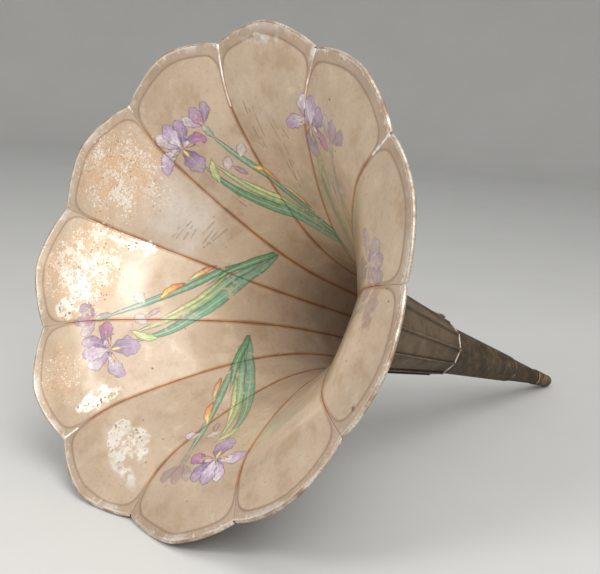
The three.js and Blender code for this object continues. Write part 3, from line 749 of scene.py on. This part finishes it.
def build_gore(index):
    angle = index * STEP
    b = Builder()
    mouth = np.arange(0, MOUTH_END, 0.6)
    flare = np.arange(MOUTH_END, THROAT_ROWS_FROM, 1.15)
    base = np.concatenate([mouth, flare, np.linspace(THROAT_ROWS_FROM, LENGTH, THROAT_ROWS)])
    v = np.linspace(-1, 1, COLUMNS)

    def sheet(rows, columns, lift):
        fade = np.clip(1 - rows / 38, 0, 1) ** 1.4
        s = rows[:, None] + edge_at(columns)[None] * fade[:, None]
        across = np.broadcast_to(columns[None], s.shape)
        calm = (1 - across**2) * smooth(4, 40, s) * smooth(440, 380, s)
        plain, _, _ = gore(angle, s, across, lift)
        bow = calm * (1.3 + 1.1 * (noise(plain, 55, 61) - 0.5))
        point, height, aside = gore(angle, s, across, lift + bow)
        return s, across, point, height, aside

    s, across, front, height, aside = sheet(base, v, -SHEET / 2)
    phi = np.degrees(angle + HALF + np.arctan2(aside, height))
    wear, tone = sheet_wear(index, s, across, height, aside, front, phi)
    picture = transfer(s, phi)
    b.grid(front, 0, True, Wear=wear, Tone=tone, Picture=picture)

    rows = np.concatenate([mouth[::4], flare[::8], np.linspace(THROAT_ROWS_FROM, LENGTH, 12)])
    s, across, back, height, aside = sheet(rows, v[::4], SHEET / 2)
    to_seam = height * TAN_HALF - np.abs(aside)
    # Painted shade on the back beside each seam fold, and darker paint next to the collar.
    shade_and_grime = smooth(5, 1.5, to_seam) * 0.75 + smooth(505, 516, s) * 0.5
    rub = smooth(5, 1, s - edge_at(across)) * 0.6
    b.grid(back, 1, False, Wear=four(shade_and_grime, rub))
    for side in (0, -1):
        faces = [sheet(rows, v[[0, -1]], lift)[2][:, side] for lift in (-SHEET / 2, SHEET / 2)]
        wall = np.stack(faces, 1)
        b.grid(wall, 1, side == -1)

    # The rolled rim.
    e = 0.985 * v
    s = edge_at(e)
    middle, _, _ = gore(angle, s, e, 0.0)
    ahead, _, _ = gore(angle, s, e, 0.5)
    normal = (ahead - middle) / 0.5
    along = np.gradient(middle, axis=0)
    along = along / np.linalg.norm(along, axis=-1, keepdims=True)
    out = np.cross(normal, along)
    out = out * np.where(out[:, 2:] > 0, -1, 1)
    size = ROLL * np.sqrt(smooth(1.0, 0.955, np.abs(e)) * 0.75 + 0.25)[:, None]
    root, _, _ = gore(angle, s, e, -SHEET / 2)
    centre = root + normal * size
    turns = np.radians(np.linspace(-90, 172, 15))
    tube = np.stack([centre + size * (math.cos(t) * out + math.sin(t) * normal) for t in turns])
    top_of_roll = (0.55 + 0.45 * np.sin(turns + 1.9).clip(0, 1))[:, None]
    rubbed = smooth(0.15, 0.5, noise(tube, 12, 71)) * top_of_roll
    b.grid(tube, 2, False, Wear=four(rubbed))
    edges = np.stack([gore(angle, edge_at(v), v, lift)[0] for lift in (-SHEET / 2, SHEET / 2)])
    b.grid(edges, 2, False, Wear=four(np.full(edges.shape[:2], 0.8)))

    # The hooked fold of the first seam, on the back.
    s = np.concatenate([[6], np.arange(9, 440, 5), np.linspace(440, LENGTH, 18)])
    ridge = np.stack([fold(angle - HALF, s, x, h) for x, h in HOOK], 1)
    # The fold's down-leg gets painted shade; the lighter rub along its crest is partly wear and partly a
    # painted highlight.
    low = smooth(-1.5, -2.1, np.array([x for x, _ in HOOK]))
    top = smooth(2.3, 2.7, np.array([h for _, h in HOOK]))
    worn = top[None] * smooth(0.5, 0.75, noise(ridge, 16, 73))
    b.grid(ridge, 1, True, Wear=four(low[None] * np.ones((len(s), 1)), worn * 0.45))
    b.cap(ridge[0], 1)
    b.cap(ridge[-1], 1, True)
    number = f"{index + 1:02d}"
    b.make(f"petal_{number}_sheet", [INSIDE, OUTSIDE, RIM], "horn", [f"petal_{number}"])


for number in range(PETALS):
    build_gore(number)


# ---- solder run along the inside of some seams, from their notches -----------------------------
def build_bead(seam, length, width):
    s = np.arange(-0.6, length, 1.0)
    turn = np.linspace(0, math.pi, 9)
    blob = np.exp(-((s - 2.0) / 2.6) ** 2)
    end = np.sqrt(np.clip((length - s) / 2.5, 0.05, 1))
    seed = np.stack([s, 0 * s + seam * 9, 0 * s], -1)
    wide = (width + 1.0 * blob + 0.5 * (noise(seed, 4, 81) - 0.5)) * end
    high = (0.75 + 0.5 * blob + 0.35 * (noise(seed, 3, 83) - 0.5)) * end
    angle = seam * STEP - HALF
    strip = np.stack([fold(angle, s, wide * math.cos(t), -0.3 - high * math.sin(t)) for t in turn], 1)
    b = Builder()
    b.grid(strip, 0, False, Wear=four(np.full(strip.shape[:2], 0.7), 0))
    b.make(f"seam_solder_{seam + 1:02d}", [BEAD], "horn")


SOLDER_RUNS = [(0, 65, 1.2), (1, 60, 1.1), (2, 30, 1.4), (7, 20, 1.2), (10, 10, 1.1)]
for seam, length, width in SOLDER_RUNS:
    build_bead(seam, length, width)


# ---- turned pieces -----------------------------------------------------------------------------
TURNED_SIDES = 120


def turned(name, section, material, replaces):
    """section: (radius, depth, how worn) once round the section of a turned piece."""
    b = Builder()
    turn = np.linspace(0, 2 * math.pi, TURNED_SIDES, endpoint=False)
    profile, rub = section
    ring = np.array(profile, float)
    points = np.stack([ring[:, 0:1] * np.cos(turn), ring[:, 0:1] * np.sin(turn),
                       ring[:, 1:2] + 0 * turn], -1)
    patchy = smooth(0.3, 0.6, noise(points, 7, 91))
    b.grid(points, 0, False, close=True, Wear=four(np.array(rub, float)[:, None] * patchy, 0))
    b.make(name, [material], "horn", [replaces])


def profile_run(points, gap=4.0):
    """Adds points along a section so that painted values can vary along it."""
    out, worn = [], []
    for (r0, z0, w0), (r1, z1, w1) in zip(points, points[1:]):
        n = max(1, int(math.hypot(r1 - r0, z1 - z0) / gap))
        for k in range(n):
            t = k / n
            out.append((r0 + (r1 - r0) * t, z0 + (z1 - z0) * t))
            worn.append(w0 + (w1 - w0) * t)
    out.append(points[-1][:2])
    worn.append(points[-1][2])
    return out, worn


THROAT_CONE = profile_run([
    (33.8, 414, 0), (34.65, 414.1, 0), (32.95, 438.4, 0.1), (18.9, 622, 0.1), (18.75, 624, 0.7),
    (18.5, 626.2, 1), (18.2, 626.9, 1), (17.65, 626.9, 0.6), (17.6, 624, 0), (32.1, 438.4, 0),
    (33.8, 414, 0),
])
LOWER_CONE = profile_run([
    (17.9, 607.2, 0), (18.7, 607.2, 0), (17.2, 627, 0.25), (16.7, 633, 0), (7.08, 750.8, 0),
    (6.25, 750.8, 0), (16.3, 627, 0), (17.9, 607.2, 0),
])
TIP_SLEEVE = profile_run([
    (10.85, 711.1, 0.6), (11.3, 711.05, 1), (11.65, 711.6, 1), (11.5, 714, 0.3), (8.6, 754, 0.3),
    (8.4, 756.2, 1), (8.2, 756.68, 1), (7.7, 756.68, 1), (7.5, 756, 0.4), (10.85, 711.1, 0),
], 3.0)
turned("throat_cone_skin", THROAT_CONE, CONE, "throat_cone")
turned("lower_cone_skin", LOWER_CONE, CONE, "lower_cone")
turned("tip_sleeve_skin", TIP_SLEEVE, SLEEVE, "tip_sleeve")


COLLAR_RADIUS, COLLAR_DEPTH = 34.5, 440.1


def build_collar():
    """The eleven-sided bead: each side is straight, with its points closer near the corners."""
    b = Builder()
    turn = np.linspace(0, 2 * math.pi, 16, endpoint=False)
    flat = COLLAR_RADIUS + 1.1 * np.cos(turn)
    depth = COLLAR_DEPTH + 0.95 * np.sin(turn)
    half_side = [0.35, 0.7, 0.94, 0.985]
    across = np.array([-x for x in reversed(half_side)] + [0] + half_side)
    angles = np.concatenate([side * STEP + HALF * across for side in range(PETALS)])
    local = (angles + HALF) % STEP - HALF
    away = flat[:, None] / np.cos(local)[None]
    points = np.stack([away * np.cos(angles), away * np.sin(angles), depth[:, None] + 0 * away], -1)
    rub = smooth(0.25, 0.55, noise(points, 9, 95))
    b.grid(points, 0, True, close=True, Wear=four(rub, 0))
    joining = np.concatenate([points[-1:], points[:1]])
    b.grid(joining, 0, True, close=True, Wear=four(np.full((2, len(angles)), 0.8), 0))
    b.make("collar_bead_skin", [COLLAR], "horn", ["collar_bead"])


build_collar()

# ---- the hanging ring --------------------------------------------------------------------------
taper = (NECK_START[1] - NECK_END[1]) / (NECK_END[0] - NECK_START[0])
slope = math.atan(taper * COS_HALF)
face = (NECK_END[1] + (NECK_END[0] - EYE_DEPTH) * taper) * COS_HALF + SHEET / 2 / math.cos(slope)
towards = np.array([-math.sin(slope), 0, math.cos(slope)])
off = np.array([math.cos(slope), 0, math.sin(slope)])
sideways = np.cross(towards, off)
centre = np.array([face, 0, EYE_DEPTH]) - RING_RADIUS * towards + EYE_HEIGHT * off
b = Builder()
around = np.linspace(0, 2 * math.pi, 96, endpoint=False)
small = np.linspace(0, 2 * math.pi, 14, endpoint=False)
spoke = np.cos(around)[:, None] * towards + np.sin(around)[:, None] * sideways
hoop = (centre + spoke[:, None] * (RING_RADIUS + RING_WIRE * np.cos(small))[None, :, None]
        + off * RING_WIRE * np.sin(small)[None, :, None])
hoop = np.concatenate([hoop, hoop[:1]])
b.grid(hoop, 0, False, close=True)
b.make("hanging_ring_wire", [WIRE], "ring", ["hanging_ring"])

for name, node in frame["nodes"].items():
    if name.startswith("rim_wire"):
        node.data.materials.clear()
        node.data.materials.append(HIDDEN)
    if name == "ring_eye":
        node.data.materials.clear()
        node.data.materials.append(EYE)
        soften = node.modifiers.new("soften", "BEVEL")
        soften.width = 0.00025
        soften.segments = 2
        soften.limit_method = "ANGLE"

# ---- floor, light and camera -------------------------------------------------------------------
FLOOR_SPOKES = 72
BEND_FROM, BEND_RADIUS, WALL_HEIGHT = 4.6, 1.4, 4.2
FLOOR_DROP = 0.0002
ground = Shader("floor_paper")
paper = ground.mix(ground.step(ground.noise(3, 4), 0.3, 0.7), rgb(200, 199, 196), rgb(197, 196, 193))
ground.set("Base Color", paper)
ground.set("Roughness", 0.9)
sweep = [(0.0, 0.0), (BEND_FROM, 0.0)]
for t in np.radians(np.arange(10, 91, 10)):
    sweep.append((BEND_FROM + BEND_RADIUS * math.sin(t), BEND_RADIUS - BEND_RADIUS * math.cos(t)))
sweep.append((BEND_FROM + BEND_RADIUS, WALL_HEIGHT))
turns = np.radians(np.arange(0, 360, 360 // FLOOR_SPOKES))
points = [(r * math.cos(t), r * math.sin(t), z - FLOOR_DROP) for r, z in sweep for t in turns]
quads = []
for i in range(len(sweep) - 1):
    near, far = i * FLOOR_SPOKES, (i + 1) * FLOOR_SPOKES
    for k in range(FLOOR_SPOKES):
        after = (k + 1) % FLOOR_SPOKES
        quads.append((near + k, near + after, far + after, far + k))
mesh = bpy.data.meshes.new("floor")
mesh.from_pydata(points, [], quads)
mesh.polygons.foreach_set("use_smooth", [True] * len(quads))
floor = bpy.data.objects.new("floor", mesh)
mesh.materials.append(ground.material)
bpy.context.scene.collection.objects.link(floor)

world = bpy.data.worlds.new("studio")
world.use_nodes = True
world.node_tree.nodes["Background"].inputs[0].default_value = (0.86, 0.87, 0.88, 1)
world.node_tree.nodes["Background"].inputs[1].default_value = 0.66
bpy.context.scene.world = world


def area_light(name, place, aim, width, height, power, colour):
    data = bpy.data.lights.new(name, "AREA")
    data.shape = "RECTANGLE"
    data.size, data.size_y, data.energy, data.color = width, height, power, colour
    light = bpy.data.objects.new(name, data)
    back = np.array(place) - np.array(aim)
    back = back / np.linalg.norm(back)
    side = np.cross([0, 0, 1], back)
    side = side / np.linalg.norm(side)
    up = np.cross(back, side)
    light.matrix_world = Matrix([(*row, p) for row, p in zip(np.stack([side, up, back], 1), place)]
                                + [(0, 0, 0, 1)])
    bpy.context.scene.collection.objects.link(light)


area_light("window", (-2.13, -2.12, 1.38), (-0.33, 0.10, 0.26), 0.32, 0.42, 6.6, (1.0, 0.98, 0.95))
area_light("front", (-1.40, -2.20, 2.30), (-0.30, 0.05, 0.25), 1.5, 1.5, 40, (1.0, 0.99, 0.97))
area_light("skylight", (-2.57, 0.04, 1.87), (-0.30, 0.12, 0.22), 0.9, 0.9, 32, (0.98, 0.99, 1.0))
area_light("fill", (-1.85, -1.05, 1.0), (0.0, 0.0, 0.2), 0.9, 0.9, 7, (1.0, 0.98, 0.96))
area_light("overhead", (-0.4, -0.8, 3.2), (0, 0, 0.1), 2.2, 2.2, 32, (1.0, 1.0, 1.0))

CAMERA_AZIMUTH, CAMERA_TILT, CAMERA_ROLL = 42.7, -11.9, 3.8
camera_data = bpy.data.cameras.new("camera")
camera_data.sensor_width = 36
camera_data.lens = 62.0
camera_data.shift_x = 0.006
camera_data.shift_y = 0.021
camera_data.clip_end = 100
camera = bpy.data.objects.new("camera", camera_data)
camera.location = (-0.989, -0.751, 0.432)
turn = Matrix.Rotation(math.radians(CAMERA_AZIMUTH - 90), 4, "Z")
nod = Matrix.Rotation(math.radians(90 + CAMERA_TILT), 4, "X")
lean = Matrix.Rotation(math.radians(CAMERA_ROLL), 4, "Z")
camera.rotation_euler = (turn @ nod @ lean).to_euler()
bpy.context.scene.collection.objects.link(camera)
bpy.context.scene.camera = camera
bpy.context.scene.view_settings.view_transform = "Standard"
